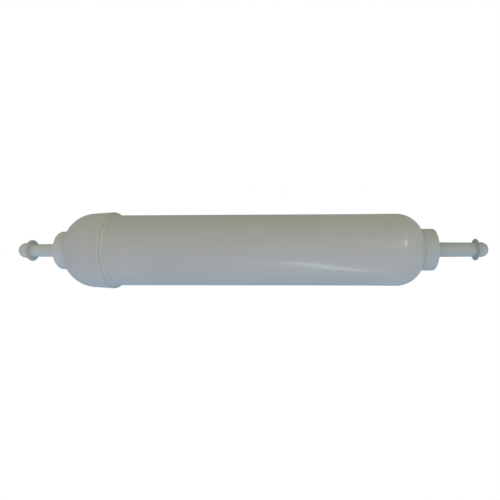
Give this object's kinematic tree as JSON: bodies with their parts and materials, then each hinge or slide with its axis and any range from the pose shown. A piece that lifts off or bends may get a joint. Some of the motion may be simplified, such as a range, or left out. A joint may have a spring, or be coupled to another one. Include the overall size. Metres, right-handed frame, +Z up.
{
  "type": "inline water filter",
  "caption": "Slim inline water filter: long white barrel with domed ends, a lipped welded cap and a barbed screw-in hose tail at each end, holding packed granular media.",
  "frame": {"origin": "on the filter's axis, halfway between the tips of the two hose tails", "axes": "+X along the axis from inlet to outlet, +Z up when the filter lies level"},
  "size_m": [0.3464, 0.058, 0.058],
  "materials": {
    "housing_plastic": "satin",
    "tail_plastic": "satin",
    "weld_plastic": "gloss",
    "inner_plastic": "matte",
    "seal_rubber": "matte",
    "spring_steel": "satin",
    "screen_steel": "satin",
    "felt": "matte",
    "carbon": "matte",
    "copper_zinc": "matte"
  },
  "bodies": {
    "housing": {"housing_body": "housing_plastic", "end_cap": "housing_plastic", "cap_weld_bead": "weld_plastic", "inlet_spreader": "inner_plastic", "packing_spring": "spring_steel", "carbon_bed": "carbon", "media_divider_pad": "felt", "kdf_media_bed": "copper_zinc", "outlet_felt_pad": "felt", "outlet_mesh_screen": "screen_steel", "outlet_clip_ring": "inner_plastic", "outlet_support_grid": "inner_plastic"},
    "follower": {"follower_plate": "inner_plastic", "follower_wiper_ring": "seal_rubber", "inlet_mesh_screen": "screen_steel", "inlet_felt_pad": "felt", "follower_clip_ring": "inner_plastic", "spring_seat_washer": "spring_steel"},
    "inlet_seal": {"inlet_tail_o_ring": "seal_rubber"},
    "inlet_tail": {"inlet_hose_tail": "tail_plastic"},
    "outlet_seal": {"outlet_tail_o_ring": "seal_rubber"},
    "outlet_tail": {"outlet_hose_tail": "tail_plastic"}
  },
  "joints": [
    {"name": "follower_slide", "type": "slide", "parent": "housing", "child": "follower", "axis": [1, 0, 0], "range_m": [-0.004, 0], "stiffness_N_per_m": 330, "springref_m": 0.025, "deforming": ["packing_spring"]},
    {"name": "inlet_tail_back_out", "type": "slide", "parent": "housing", "child": "inlet_seal", "axis": [-1, 0, 0], "range_m": [0, 0.00802]},
    {"name": "inlet_tail_turn", "type": "hinge", "parent": "inlet_seal", "child": "inlet_tail", "pos_m": [-0.1287, 0, 0], "axis": [-1, 0, 0], "range_deg": [0, 2160]},
    {"name": "outlet_tail_back_out", "type": "slide", "parent": "housing", "child": "outlet_seal", "axis": [1, 0, 0], "range_m": [0, 0.00802]},
    {"name": "outlet_tail_turn", "type": "hinge", "parent": "outlet_seal", "child": "outlet_tail", "pos_m": [0.1287, 0, 0], "axis": [1, 0, 0], "range_deg": [0, 2160]}
  ],
  "couplings": [
    {"joint": "inlet_tail_turn", "follows": "inlet_tail_back_out", "rad_per_m": 4699.5},
    {"joint": "outlet_tail_turn", "follows": "outlet_tail_back_out", "rad_per_m": 4699.5}
  ]
}
